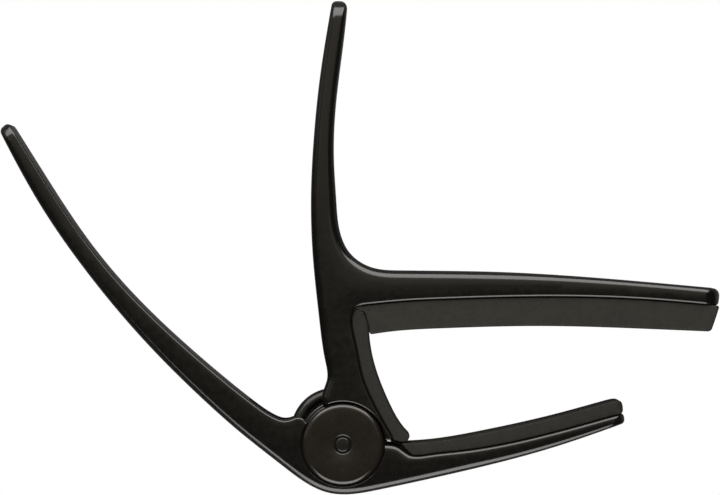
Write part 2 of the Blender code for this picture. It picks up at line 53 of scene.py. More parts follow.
# Depths in mm: the height of the middle of the capo, and from there to each kind of piece's faces
MID_PLANE = 7.3
CASTING_HALF = 7.0
PAD_HALF = 6.5
CAP_HALF = 7.3

# In mm: the spacing of points along a curve, how far one edge radius takes to become the next, and how far
# from a casting's end its corners can reach
SAMPLE = 0.1
EDGE_BLEND = 1.5
END_REACH = 6.0

# Outlines in mm, in the same frame as the CAD
HANDLE_TIP = [(-1.7, 70.5), (0.8, 70.5)]
HANDLE_TO_JAW = [
    (0.8, 70.5), (0.3, 65.7), (-1.06, 54.6), (-1.42, 45.1), (-1.05, 38.7), (-0.5, 33.9), (0.84, 30.75),
    (2.6, 29.05), (5.1, 27.95), (9.0, 27.6), (24.95, 27.35), (40.8, 26.4), (59.944, 24.72),
]
JAW_END = [(59.944, 24.72), (59.92, 23.3), (59.6, 21.98)]
STRING_SEAT = [(59.6, 21.98), (48.8, 22.9), (32.9, 23.4), (17.0, 23.05), (9.1, 22.65), (2.1, 21.95)]
SPINE_SEAT = [(2.1, 21.95), (1.5, 20.3), (1.95, 16.5), (3.37, 10.1), (4.7, 6.97), (6.35, 3.85), (8.3, 0.45)]
FRAME_FOOT = [(8.3, 0.45), (6.4, 0.74)]
FRAME_HUB = [(6.4, 0.74), (-2.6, 5.2)]
STOP_LUG = [
    (7.0, 1.6), (7.5, 0.62), (7.75, 0.3), (8.45, 0.1), (9.15, -0.28), (9.15, 0.28), (8.6, 0.42), (8.2, 0.6),
    (7.7, 1.4),
]
FRAME_BACK = [
    (-2.6, 5.2), (-3.4, 6.9), (-2.98, 8.87), (-2.5, 10.6), (-2.84, 13.3), (-3.76, 19.7), (-4.75, 29.2),
    (-5.1, 38.7), (-4.68, 48.2), (-3.73, 57.8), (-1.7, 70.5),
]
LEVER_TIP = [(-54.65, 50.0), (-53.1, 51.25)]
LEVER_INNER = [
    (-53.1, 51.25), (-47.4, 42.15), (-40.9, 32.45), (-34.25, 24.45), (-26.05, 16.45), (-18.5, 9.95),
    (-14.35, 6.65), (-11.05, 4.45), (-9.4, 3.9), (-8.3, 4.05), (-7.2, 4.4), (-6.3, 4.2), (-5.7, 3.5),
]
LEVER_HUB = [(-5.7, 3.5), (4.5, 0.06)]
LEVER_SHOULDER = [(4.5, 0.06), (6.4, 0.15), (7.65, 0.08), (8.8, -0.25), (9.9, -1.0), (10.9, -1.68)]
NECK_SEAT = [(10.9, -1.68), (11.6, -1.76), (13.8, -1.55), (18.6, -1.0), (31.3, 1.41), (44.65, 5.06)]
LEVER_JAW_END = [(44.65, 5.06), (44.85, 3.42)]
LEVER_OUTER = [
    (44.85, 3.42), (34.0, -0.33), (16.3, -4.94), (5.4, -7.3), (0.6, -7.985), (-2.56, -7.65), (-5.43, -6.4),
    (-9.7, -3.35), (-16.7, 2.2), (-22.06, 6.97), (-31.6, 16.5), (-40.87, 27.6), (-48.5, 38.7),
    (-54.65, 50.0),
]
STRING_PAD_FACE = [(4.2, 17.4), (6.4, 17.75), (15.3, 18.4), (31.3, 18.78), (48.8, 18.3), (58.45, 17.9)]
STRING_PAD_END = [(58.45, 17.9), (59.16, 19.95), (59.8, 21.93)]
STRING_PAD_HEEL = [(2.3, 21.5), (3.3, 21.05), (3.68, 20.3), (4.06, 18.9), (4.2, 17.4)]
SPINE_PAD_FACE = [
    (3.3, 21.05), (3.7, 20.3), (4.08, 18.9), (4.25, 17.1), (4.9, 13.2), (7.3, 6.65), (10.08, 2.04),
    (10.65, 1.45),
]
SPINE_PAD_FOOT = [(10.65, 1.45), (10.3, 0.66), (9.25, 0.45)]
SPINE_PAD_CREST = (2.4, 21.48)
HEEL_WEB = [
    (9.05, -0.62), (9.18, -0.35), (9.18, 0.17), (9.6, 0.17), (10.95, -1.5), (10.9, -2.1), (9.9, -1.4),
]
NECK_PAD_FACE = [
    (9.22, 0.24), (10.4, 0.22), (11.6, 0.27), (14.6, 0.53), (22.3, 1.84), (32.6, 4.1), (42.0, 6.64),
]
NECK_PAD_END = [(42.0, 6.64), (44.2, 6.75)]

# Ends whose corners are rounded as seen face on: a point at the end, its direction, the corner's radius
FRAME_ENDS = [((-0.5, 70.53), 90, 3.2), ((59.95, 23.4), 0, 2.9)]
LEVER_ENDS = [((-54.0, 50.75), 128, 2.8), ((44.85, 4.1), 15, 2.4)]
STRING_PAD_ENDS = [((59.8, 20.4), 0, 0.6)]
NECK_PAD_ENDS = [((44.5, 6.0), 15, 1.0)]

# A casting's walls lean in by the draft, apart from the parting line
DRAFT = 0.03
# The parting line of a casting: heights from the mid-plane, and how far in from the outline each lies
PARTING_RIDGE = [(-0.12, DRAFT), (-0.04, 0.0), (0.04, 0.0), (0.12, DRAFT)]

COIL_CENTRE = np.array([-1.35, 1.81])
COIL_RADIUS = 5.9
WIRE_RADIUS = 1.1
COIL_PITCH = 2.22
COIL_BORE = COIL_RADIUS + WIRE_RADIUS + 0.25
CHAMBER_HALF = 3.9
FORK_HALF = 5.0
FRAME_LEG_ANGLE = 115.5
FRAME_LEG = 10.8
LEVER_LEG_ANGLE = 143.1
LEVER_LEG = 13.0
TRAVEL = 28.0
THROUGH = 9.0

# The key rib under each pad: the seat it is on, its start and end along that seat, and its height
STRING_RIB = (STRING_SEAT, 5.0, 50.0, 1.2)
SPINE_RIB = (SPINE_SEAT, 3.1, 6.7, 0.8)
NECK_RIB = (NECK_SEAT, 4.0, 27.5, 0.8)


# ---------------------------------------------------------------- outlines

def direction(degrees):
    return np.array([math.cos(math.radians(degrees)), math.sin(math.radians(degrees))])


def spline(points):
    """Points along the natural cubic spline through the given points."""
    p = np.array(points, float)
    knots = np.r_[0, np.cumsum(np.linalg.norm(np.diff(p, axis=0), axis=1))]
    gaps = np.diff(knots)
    system = np.eye(len(p))
    right = np.zeros_like(p)
    for i in range(1, len(p) - 1):
        system[i, i - 1 : i + 2] = gaps[i - 1], 2 * (gaps[i - 1] + gaps[i]), gaps[i]
        right[i] = 6 * ((p[i + 1] - p[i]) / gaps[i] - (p[i] - p[i - 1]) / gaps[i - 1])
    bend = np.linalg.solve(system, right)
    t = np.linspace(0, knots[-1], max(3, round(knots[-1] / SAMPLE) + 1))
    i = np.clip(np.searchsorted(knots, t, side="right") - 1, 0, len(gaps) - 1)
    b = ((t - knots[i]) / gaps[i])[:, None]
    a = 1 - b
    span = (gaps[i] ** 2)[:, None] / 6
    return a * p[i] + b * p[i + 1] + ((a**3 - a) * bend[i] + (b**3 - b) * bend[i + 1]) * span


def lengths(path):
    return np.r_[0, np.cumsum(np.linalg.norm(np.diff(path, axis=0), axis=1))]


def section(path, start, end):
    """The part of a path between two distances along it."""
    along = lengths(path)
    inside = (along > start + 1e-6) & (along < end - 1e-6)
    ends = [[np.interp(s, along, path[:, k]) for k in (0, 1)] for s in (start, end)]
    return np.vstack([ends[:1], path[inside], ends[1:]])


def unit(vector):
    return vector / np.linalg.norm(vector)


def turn_between(u, v):
    return math.atan2(abs(u[0] * v[1] - u[1] * v[0]), float(u @ v))


def corner_arc(start, u, end, v):
    """A rounded corner from start, leaving in direction u, to end, arriving in direction v."""
    turn = turn_between(u, v)
    handle = np.linalg.norm(end - start) * 2 / 3 * math.tan(turn / 4) / math.sin(turn / 2)
    t = np.linspace(0, 1, 17)[:, None]
    b, c = start + handle * u, end - handle * v
    return (1 - t) ** 3 * start + 3 * (1 - t) ** 2 * t * b + 3 * (1 - t) * t**2 * c + t**3 * end


def closed_outline(runs):
    """A closed outline from (path, edge radius, corner radius at the path's end): points and edge radii."""
    paths = [run[0] for run in runs]
    cuts = []
    for k, (path, _, corner) in enumerate(runs):
        following = paths[(k + 1) % len(runs)]
        turn = turn_between(unit(path[-1] - path[-3]), unit(following[2] - following[0]))
        cuts.append(corner * math.tan(turn / 2))
    points, edges = [], []
    for k, (path, edge, _) in enumerate(runs):
        following, next_edge, _ = runs[(k + 1) % len(runs)]
        trimmed = section(path, cuts[k - 1], lengths(path)[-1] - cuts[k])
        points.append(trimmed[:-1])
        edges.append(np.full(len(trimmed) - 1, edge))
        after = section(following, cuts[k], lengths(following)[-1])
        arc = corner_arc(trimmed[-1], unit(trimmed[-1] - trimmed[-2]), after[0], unit(after[1] - after[0]))
        points.append(arc[:-1])
        edges.append(np.linspace(edge, next_edge, len(arc))[:-1])
    points, edges = np.vstack(points), np.concatenate(edges)
    apart = np.linalg.norm(points - np.roll(points, 1, axis=0), axis=1) > 0.03
    points, edges = points[apart], edges[apart]
    x, y = points.T
    if (x * np.roll(y, -1) - y * np.roll(x, -1)).sum() < 0:
        points, edges = points[::-1], edges[::-1]
    return points, limited(points, smoothed(points, edges, EDGE_BLEND))


def distances_round(points):
    """Each point's distance round a closed outline from each other point."""
    along = lengths(np.vstack([points, points[:1]]))
    total = along[-1]
    return np.abs((along[None, :-1] - along[:-1, None] + total / 2) % total - total / 2)


def smoothed(points, values, reach):
    weight = np.clip(1 - distances_round(points) / reach, 0, None)
    return (weight * values).sum(1) / weight.sum(1)


def limited(points, edges):
    """Edge radii kept below the radius of the largest circle that fits inside the outline at each point."""
    toward = points[None] - points[:, None]
    size = (toward**2).sum(2)
    depth = (toward * inward(points)[:, None]).sum(2)
    fits = np.where((depth > 1e-6) & (size > 0.003), size / (2 * np.maximum(depth, 1e-6)), 100).min(1)
    edges = np.minimum(edges, 0.72 * fits)
    return np.minimum(smoothed(points, edges, 0.6), 0.74 * fits)


def half_widths(points, half, ends):
    """How far a piece reaches from the mid-plane at each point, less where its ends' corners are rounded."""
    widths = np.full(len(points), float(half))
    for place, degrees, radius in ends:
        away = points - np.array(place)
        inside = np.clip(radius + away @ direction(degrees), 0, radius)
        corner = radius - np.sqrt(radius**2 - inside**2)
        widths -= np.where(np.linalg.norm(away, axis=1) < END_REACH, corner, 0)
    return widths


def thinned(points, edges, widths, error=0.003, longest=1.2):
    """The fewest of a closed outline's points that stay within the error of it."""
    solid = np.c_[points, widths]
    kept = [0]
    i = 0
    while i < len(points) - 1:
        j = i + 1
        while j < len(points) - 1:
            chord = solid[j + 1] - solid[i]
            size = np.linalg.norm(chord)
            off = np.linalg.norm(np.cross(solid[i + 1 : j + 1] - solid[i], chord), axis=1).max() / size
            if off > error or size > longest:
                break
            j += 1
        kept.append(j)
        i = j
    kept = kept[:-1]
    return points[kept], edges[kept], widths[kept]


def unit_rows(vectors):
    return vectors / np.linalg.norm(vectors, axis=1)[:, None]


def inward(points):
    """Each point's normal, towards the inside of a closed outline that runs anticlockwise."""
    before = points - np.roll(points, 1, axis=0)
    after = np.roll(points, -1, axis=0) - points
    along = unit_rows(unit_rows(before) + unit_rows(after))
    return np.c_[-along[:, 1], along[:, 0]]


def shifted(path, distance):
    """An open path moved to its left by a distance."""
    along = unit_rows(np.gradient(path, axis=0))
    return path + distance * np.c_[-along[:, 1], along[:, 0]]


# ---------------------------------------------------------------- meshes

def finish_object(name, bm):
    bmesh.ops.recalc_face_normals(bm, faces=bm.faces)
    mesh = bpy.data.meshes.new(name)
    bm.to_mesh(mesh)
    bm.free()
    obj = bpy.data.objects.new(name, mesh)
    bpy.context.scene.collection.objects.link(obj)
    return obj


def distance_to(ring, places):
    """Each place's distance to a closed ring of points."""
    a, b = ring, np.roll(ring, -1, axis=0)
    d = b - a
    best = np.full(len(places), 1e9)
    for start in range(0, len(places), 400):
        p = places[start : start + 400, None, :]
        t = np.clip(((p - a) * d).sum(2) / (d**2).sum(1), 0, 1)
        best[start : start + 400] = np.linalg.norm(p - (a + t[..., None] * d), axis=2).min(1)
    return best


def inside(ring, places):
    """Which places lie inside a closed ring of points."""
    x, y = places.T
    result = np.zeros(len(places), bool)
    a, b = ring, np.roll(ring, -1, axis=0)
    for (x0, y0), (x1, y1) in zip(a, b):
        crosses = (y0 > y) != (y1 > y)
        if crosses.any():
            result ^= crosses & (x < (x1 - x0) * (y - y0) / (y1 - y0 + 1e-30) + x0)
    return result


def face_grid(ring, spacing):
    """Places on a triangular grid inside a ring, away from its edge."""
    low, high = ring.min(0), ring.max(0)
    places = []
    row = 0
    y = low[1]
    while y < high[1]:
        xs = np.arange(low[0] + (row % 2) * spacing / 2, high[0], spacing)
        places.append(np.c_[xs, np.full(len(xs), y)])
        y += spacing * 0.866
        row += 1
    places = np.vstack(places)
    places = places[inside(ring, places)]
    return places[distance_to(ring, places) > spacing * 0.55]


def filled_face(ring, spacing, crown):
    """A side face: its triangles, its inner places and how far the crown raises each."""
    inner = face_grid(ring, spacing)
    count = len(ring)
    flat = [Vector(p) for p in ring] + [Vector(p) for p in inner]
    sides = [(i, (i + 1) % count) for i in range(count)]
    _, _, triangles, sources, _, _ = delaunay_2d_cdt(flat, sides, [], 1, 1e-6)
    triangles = [[sources[i][0] for i in triangle] for triangle in triangles]
    lift = np.zeros(count + len(inner))
    links = np.array([(t[i], t[(i + 1) % 3]) for t in triangles for i in range(3)])
    total = np.bincount(links[:, 0], minlength=len(lift)) + np.bincount(links[:, 1], minlength=len(lift))
    away = distance_to(ring, inner) if len(inner) else np.zeros(0)
    lift[count:] = crown * (1 - np.exp(-away / 1.1))
    for _ in range(6):
        near = np.bincount(links[:, 0], lift[links[:, 1]], len(lift))
        near += np.bincount(links[:, 1], lift[links[:, 0]], len(lift))
        lift[count:] = (near / np.maximum(total, 1))[count:]
    return triangles, inner, lift[count:]


def slab(name, runs, half, rings=9, ends=(), crown=0.06, draft=0.0, spacing=0.7):
    """A flat piece with rounded edges and softly crowned faces; draft gives it a casting's parting line."""
    points, edges = closed_outline(runs)
    points, edges, widths = thinned(points, edges, half_widths(points, half, ends))
    normals = inward(points)
    bm = bmesh.new()
    lower, upper = [], []
    for side, layers in ((-1, lower), (1, upper)):
        for step in range(rings + 1):
            angle = math.pi / 2 * step / rings
            ring = points + normals * (edges * (1 - math.cos(angle)) + draft)[:, None]
            height = half_widths(ring, half, ends) - edges * (1 - math.sin(angle))
            layers.append((ring, MID_PLANE + side * height))
    middle = []
    if draft:
        for offset, inset in PARTING_RIDGE:
            middle.append((points + normals * inset, np.full(len(points), MID_PLANE + offset)))
    stack = []
    for ring, height in lower[::-1] + middle + upper:
        stack.append([bm.verts.new((x * MM, y * MM, z * MM)) for (x, y), z in zip(ring, height)])
    for below, above in zip(stack, stack[1:]):
        for i in range(len(points)):
            j = (i + 1) % len(points)
            bm.faces.new((below[i], below[j], above[j], above[i]))
    ring, height = upper[-1]
    triangles, inner, lift = filled_face(ring, spacing, crown)
    raised = MID_PLANE + half_widths(inner, half, ends) + lift
    for side, outer in ((1, stack[-1]), (-1, stack[0])):
        heights = MID_PLANE + side * (raised - MID_PLANE)
        corners = outer + [bm.verts.new((x * MM, y * MM, z * MM)) for (x, y), z in zip(inner, heights)]
        for triangle in triangles:
            bm.faces.new([corners[i] for i in triangle])
    return finish_object(name, bm)


def prism(name, outline, half):
    bm = bmesh.new()
    base = bm.faces.new([bm.verts.new((x * MM, y * MM, (MID_PLANE - half) * MM)) for x, y in outline])
    raised = bmesh.ops.extrude_face_region(bm, geom=[base])["geom"]
    top = [item for item in raised if isinstance(item, bmesh.types.BMVert)]
    bmesh.ops.translate(bm, verts=top, vec=(0, 0, 2 * half * MM))
    return finish_object(name, bm)


def band(name, path, low, high, half):
    """A straight-sided strip between two offsets from a path."""
    return prism(name, np.vstack([shifted(path, low), shifted(path, high)[::-1]]), half)


def turned(name, profile, steps=160, centre=(0, 0)):
    """A closed (radius, height) profile turned about a vertical axis."""
    bm = bmesh.new()
    corners = [bm.verts.new((r * MM, 0, z * MM)) for r, z in profile]
    edges = [bm.edges.new((a, b)) for a, b in zip(corners, corners[1:] + corners[:1])]
    edges = [e for e in edges if max(v.co.x for v in e.verts) > 0]
    bmesh.ops.spin(bm, geom=corners + edges, angle=2 * math.pi, steps=steps, axis=(0, 0, 1), use_merge=True)
    bmesh.ops.remove_doubles(bm, verts=bm.verts, dist=1e-7)
    for v in bm.verts:
        v.co.x += centre[0] * MM
        v.co.y += centre[1] * MM
    return finish_object(name, bm)


def disc(name, radius, low, high, steps=160, centre=(0, 0)):
    low, high = MID_PLANE + low, MID_PLANE + high
    return turned(name, [(0, low), (radius, low), (radius, high), (0, high)], steps, centre)


def arc_points(centre, radius, first, last, step=15):
    """A turned profile's points round part of a circle, between two angles in degrees."""
    angles = np.radians(range(first, last + 1, step))
    return [(centre[0] + radius * math.cos(a), centre[1] + radius * math.sin(a)) for a in angles]


def rounded_disc(name, radius, half, edge):
    rim = arc_points((radius - edge, half - edge), edge, 0, 90)
    profile = [(0, -half)] + [(r, -z) for r, z in rim[::-1]] + rim + [(0, half)]
    return turned(name, [(r, MID_PLANE + z) for r, z in profile])


def flared(name, radius, floor, side, flare=0.06):
    """The cutter of a recess whose rim is rounded where it meets the casting's face."""
    wide, above = radius + flare, CASTING_HALF + 2
    rim = arc_points((wide, CASTING_HALF - flare), flare, 90, 180)[::-1]
    profile = [(0, floor), (radius, floor)] + rim + [(wide, above), (0, above)]
    return turned(name, [(r, MID_PLANE + side * z) for r, z in profile])


def combine(obj, joined, removed=()):
    """Joins helpers to a piece and cuts others from it, and leaves one plain mesh."""
    helpers = []
    for tools, operation in ((joined, "UNION"), (removed, "DIFFERENCE")):
        for tool in tools:
            modifier = obj.modifiers.new(tool.name, "BOOLEAN")
            modifier.operation = operation
            modifier.object = tool
            modifier.solver = "MANIFOLD"
            helpers.append(tool)
    graph = bpy.context.evaluated_depsgraph_get()
    mesh = bpy.data.meshes.new_from_object(obj.evaluated_get(graph))
    obj.modifiers.clear()
    obj.data = mesh
    for tool in helpers:
        bpy.data.objects.remove(tool)
    return obj


def soften(obj, angle=32):
    obj.data.shade_smooth()
    obj.data.set_sharp_from_angle(angle=math.radians(angle))


# ---------------------------------------------------------------- castings

def leg_start(leg_angle):
    """Where a leg in this direction leaves the coil, on the side that the frame's leg is on."""
    return COIL_CENTRE + COIL_RADIUS * direction(leg_angle - 90)


def channel(name, start, angle, length, side):
    """The cutter of a leg's slot, open to one side of the leg."""
    along, across = direction(angle), side * direction(angle - 90)
    near, far = start + along * 0.8, start + along * (length + 1.0)
    floor, mouth = across * (WIRE_RADIUS + 0.2), -across * 9.0
    return prism(name, [near + floor, far + floor, far + mouth, near + mouth], CHAMBER_HALF - 0.03)


def coil_sweep(steps=48, sector=110):
    """The outline of the space that the coil takes up in the lever, over the lever's travel."""
    reach = float(np.linalg.norm(COIL_CENTRE))
    heading = math.degrees(math.atan2(COIL_CENTRE[1], COIL_CENTRE[0]))
    outline = []
    for turn, first in ((0, heading - sector), (TRAVEL, heading + TRAVEL)):
        centre = reach * direction(heading + turn)
        outline += [centre + COIL_BORE * direction(first + sector * i / steps) for i in range(steps + 1)]
    return outline


def groove(name, seat, start, end, depth):
    """The cutter of the groove that a pad's rib sits in, a little larger than the rib all round."""
    return band(name, section(spline(seat), start - 0.5, end + 0.5), 1.0, -(depth + 0.2), 2.2)


def frame_casting():
    runs = [
        (spline(HANDLE_TIP), 0.8, 1.15),
        (spline(HANDLE_TO_JAW), 1.5, 1.4),
        (spline(JAW_END), 0.8, 0.65),
        (spline(STRING_SEAT), 0.45, 2.1),
        (spline(SPINE_SEAT), 0.4, 0.45),
        (spline(FRAME_FOOT), 0.3, 0.3),
        (spline(FRAME_HUB), 0.3, 0.3),
        (spline(FRAME_BACK), 1.2, 0.9),
    ]
    obj = slab("upper_casting", runs, CASTING_HALF, ends=FRAME_ENDS, draft=DRAFT)
    recess, chamber, ear, ear_face, bush_bore, lug_half = 6.74, 7.15, 7.1, 4.6, 2.25, 4.5
    slot_half = CHAMBER_HALF - 0.03
    removed = [
        flared("c1", recess, ear_face, 1, 0.3),
        flared("c2", recess, ear_face, -1, 0.3),
        disc("c3", chamber, -CHAMBER_HALF, CHAMBER_HALF),
        disc("c4", COIL_BORE, -slot_half, slot_half, centre=COIL_CENTRE),
        channel("c5", leg_start(FRAME_LEG_ANGLE), FRAME_LEG_ANGLE, FRAME_LEG, 1),
        disc("c6", bush_bore, -THROUGH, THROUGH, 64),
        groove("c7", *STRING_RIB),
        groove("c8", *SPINE_RIB),
    ]
    ears = rounded_disc("e1", ear, ear_face - 0.05, 0.3)
    return combine(obj, [ears, prism("e2", STOP_LUG, lug_half)], removed)


def lever_casting():
    runs = [
        (spline(LEVER_TIP), 0.45, 0.75),
        (spline(LEVER_INNER), 0.42, 0.3),
        (spline(LEVER_HUB), 0.3, 0.3),
        (spline(LEVER_SHOULDER), 0.95, 0.8),
        (spline(NECK_SEAT), 0.6, 0.6),
        (spline(LEVER_JAW_END), 0.6, 0.75),
        (spline(LEVER_OUTER), 1.15, 0.9),
    ]
    obj = slab("lower_casting", runs, CASTING_HALF, ends=LEVER_ENDS, draft=DRAFT)
    start = 2 * COIL_CENTRE - leg_start(LEVER_LEG_ANGLE)
    recess, fork, ear, ear_face, pin_bore = 6.73, 7.2, 6.65, 6.1, 1.56
    removed = [
        flared("c1", recess, ear_face, 1),
        flared("c2", recess, ear_face, -1),
        disc("c3", fork, -FORK_HALF, FORK_HALF),
        prism("c4", coil_sweep(), CHAMBER_HALF),
        channel("c5", start, LEVER_LEG_ANGLE, LEVER_LEG, -1),
        disc("c6", pin_bore, -THROUGH, THROUGH, 64),
        groove("c7", *NECK_RIB),
    ]
    ears = rounded_disc("e1", ear, ear_face - 0.02, 0.2)
    return combine(obj, [ears, prism("e2", HEEL_WEB, FORK_HALF)], removed)


# ---------------------------------------------------------------- pads

def seat_line(seat, start, end):
    """The back of a pad: part of its seat, a little clear of the casting."""
    return shifted(section(spline(seat), start, end), -0.03)


def rib(name, seat, start, end, height):
    return band(name, section(spline(seat), start, end), 1.0, -height, 2.0)


def pad(name, runs, rib_piece, ends=()):
    obj = slab(name, runs, PAD_HALF, rings=6, ends=ends, crown=0.06, spacing=0.8)
    return combine(obj, [rib_piece])


def string_pad():
    whole = lengths(spline(STRING_SEAT))[-1]
    back = np.vstack([STRING_PAD_END[-1:], seat_line(STRING_SEAT, 0.02, whole - 0.03)])
    end = spline(STRING_PAD_END)
    heel = spline([tuple(back[-1])] + STRING_PAD_HEEL)
    face = spline(STRING_PAD_FACE)
    runs = [(back, 0.3, 0.08), (heel, 0.35, 0.5), (face, 0.5, 0.75), (end, 0.35, 0.12)]
    return pad("string_rubber", runs, rib("r1", *STRING_RIB), STRING_PAD_ENDS)


def spine_pad():
    whole = lengths(spline(SPINE_SEAT))[-1]
    back = seat_line(SPINE_SEAT, 0.25, whole - 0.35)
    top = spline([SPINE_PAD_FACE[0], SPINE_PAD_CREST, tuple(back[0])])
    foot = spline(SPINE_PAD_FOOT + [tuple(back[-1])])[::-1]
    face = spline(SPINE_PAD_FACE)[::-1]
    runs = [(back, 0.3, 0.3), (foot, 0.25, 0.2), (face, 0.5, 0.4), (top, 0.3, 0.1)]
    return pad("spine_rubber", runs, rib("r1", *SPINE_RIB))


def neck_pad():
    whole = lengths(spline(NECK_SEAT))[-1]
    back = seat_line(NECK_SEAT, 0.05, whole - 0.2)
    heel = spline([NECK_PAD_FACE[0], tuple(back[0])])
    end = spline(NECK_PAD_END + [tuple(back[-1])])[::-1]
    face = spline(NECK_PAD_FACE)[::-1]
    runs = [(back, 0.3, 0.3), (end, 0.35, 0.6), (face, 0.3, 0.1), (heel, 0.2, 0.15)]
    return pad("neck_rubber", runs, rib("r1", *NECK_RIB), NECK_PAD_ENDS)


# ---------------------------------------------------------------- hub

def hub_cap(name, side):
    """A cap with a broad rounded rim and a groove round the pin."""
    radius, rim, lip = 6.52, 0.8, 0.22
    bore, mouth, under, groove_floor = 1.25, 1.42, 6.2, 6.95
    profile = [(bore, under), (radius, under)]
    profile += arc_points((radius - rim, CAP_HALF - rim), rim, 0, 90, 6)
    profile += arc_points((mouth + lip, CAP_HALF - lip), lip, 90, 180)
    profile += [(mouth, groove_floor), (bore, groove_floor)]
    return turned(name, [(r, MID_PLANE + side * z) for r, z in profile])


def pin():
    """A pin with rounded ends, stepped up to its barrel under the caps."""
    end, barrel, edge, step, chamfer = 1.22, 1.5, 0.35, 6.1, 0.1
    half = arc_points((end - edge, CAP_HALF - edge), edge, 0, 90)[::-1]
    half += [(end, step), (barrel - chamfer, step), (barrel, step - chamfer)]
    profile = [(0, -CAP_HALF)] + [(r, -z) for r, z in half] + half[::-1] + [(0, CAP_HALF)]
    return turned("pivot", [(r, MID_PLANE + z) for r, z in profile], 96)


def spring_path():
    """The middle of the wire, from the frame's leg round to the lever's, and where that leg starts."""
    first, last = FRAME_LEG_ANGLE - 90, LEVER_LEG_ANGLE + 90
    sweep = 720 + (first - last) % 360
    rise = COIL_PITCH * sweep / 360
    top = MID_PLANE + rise / 2
    start = leg_start(FRAME_LEG_ANGLE)
    end = 2 * COIL_CENTRE - leg_start(LEVER_LEG_ANGLE)
    inward_leg = np.linspace(FRAME_LEG, 0.3, 22)
    wound = [(*(start + t * direction(FRAME_LEG_ANGLE)), top) for t in inward_leg]
    for part in np.linspace(0, 1, round(sweep / 5) + 1):
        place = COIL_CENTRE + COIL_RADIUS * direction(first - sweep * part)
        wound.append((*place, top - rise * part))
    leg = [(*(end + t * direction(LEVER_LEG_ANGLE)), top - rise) for t in np.linspace(0.4, LEVER_LEG, 32)]
    return np.array(wound + leg), len(wound)


def wire(name, path, tangents, narrowed):
    """Round wire along a path; the ring at the narrowed place is the wire's trimmed end."""
    count = 20
    radii = np.full(len(path), WIRE_RADIUS)
    radii[narrowed] -= 0.12
    bm = bmesh.new()
    rings = []
    for place, tangent, radius in zip(path, tangents, radii):
        side = np.cross(tangent, (0, 0, 1))
        side /= np.linalg.norm(side)
        over = np.cross(side, tangent)
        ring = []
        for i in range(count):
            a = 2 * math.pi * i / count
            ring.append(bm.verts.new((place + radius * (math.cos(a) * side + math.sin(a) * over)) * MM))
        rings.append(ring)
    for one, two in zip(rings, rings[1:]):
        for i in range(count):
            j = (i + 1) % count
            bm.faces.new((one[i], one[j], two[j], two[i]))
    bm.faces.new(rings[0][::-1])
    bm.faces.new(rings[-1])
    return finish_object(name, bm)


def spring():
    """The coil with the frame's leg, which stay with the frame, and the leg that the lever pushes round."""
    path, split = spring_path()
    tangents = unit_rows(np.gradient(path, axis=0))
    coil = wire("spring_coil", path[:split], tangents[:split], 0)
    leg = wire("spring_leg", path[split - 1 :], tangents[split - 1 :], -1)
    return coil, leg


# ---------------------------------------------------------------- materials

def node_material(name):
    made = bpy.data.materials.new(name)
    made.use_nodes = True
    tree = made.node_tree
    return made, tree, tree.nodes["Principled BSDF"]


def add(tree, kind, **values):
    node = tree.nodes.new(kind)
    for key, value in values.items():
        if key in node.inputs:
            node.inputs[key].default_value = value
        else:
            setattr(node, key, value)
    return node


def noise(tree, scale, detail=3.0, roughness=0.5):
    place = add(tree, "ShaderNodeTexCoord")
    texture = add(tree, "ShaderNodeTexNoise", Scale=scale, Detail=detail, Roughness=roughness)
    tree.links.new(place.outputs["Object"], texture.inputs["Vector"])
    return texture.outputs["Fac"]


def spread(tree, value, low, high, start=0.3, end=0.7):
    """Maps the middle of a noise's range on to low to high."""
    node = add(tree, "ShaderNodeMapRange")
    for key, number in (("From Min", start), ("From Max", end), ("To Min", low), ("To Max", high)):
        node.inputs[key].default_value = number
    tree.links.new(value, node.inputs["Value"])
    return node.outputs["Result"]


def tint(tree, value, dark, light):
    """A colour between two, by a value from 0 to 1."""
    node = add(tree, "ShaderNodeMix", data_type="RGBA")
    colour = [s for s in node.inputs if s.type == "RGBA"]
    colour[0].default_value = (*dark, 1)
    colour[1].default_value = (*light, 1)
    tree.links.new(value, node.inputs["Factor"])
    return [s for s in node.outputs if s.type == "RGBA"][0]


def bump(tree, layers):
    """Bumps one on another, from (value, strength, depth in metres)."""
    last = None
    for value, strength, depth in layers:
        node = add(tree, "ShaderNodeBump", Strength=strength, Distance=depth)
        tree.links.new(value, node.inputs["Height"])
        if last:
            tree.links.new(last, node.inputs["Normal"])
        last = node.outputs["Normal"]
    return last


def surface(name, colours, colour_scale, shine, layers):
    """A material with a mottled colour, a varied roughness, and bump from noise.

    colours are its darkest and lightest, and colour_scale is their noise's scale, detail and roughness.
    shine is the scale and detail of the roughness's noise, and the roughness's least and most.
    Each layer is a noise's scale and detail, and the bump's strength and depth in metres.
    """
    made, tree, shader = node_material(name)
    mottle = spread(tree, noise(tree, *colour_scale), 0, 1)
    tree.links.new(tint(tree, mottle, *colours), shader.inputs["Base Color"])
    scale, detail, least, most = shine
    tree.links.new(spread(tree, noise(tree, scale, detail), least, most), shader.inputs["Roughness"])
    bumps = [(noise(tree, scale, detail), strength, depth) for scale, detail, strength, depth in layers]
    tree.links.new(bump(tree, bumps), shader.inputs["Normal"])
    return made, shader


def enamel(name, depth):
    """Black enamel; depth scales its colour against the castings', and a depth above 1 is painted light: a
    lighter copy of the same enamel.
    """
    colours = np.array([0.0019, 0.0015, 0.0011]) * depth, np.array([0.0026, 0.0021, 0.0015]) * depth
    layers = [(1300, 2, 0.1, 0.00001), (5200, 2, 0.08, 0.000004)]
    return surface(name, colours, (260, 4), (900, 3, 0.16, 0.22), layers)[0]


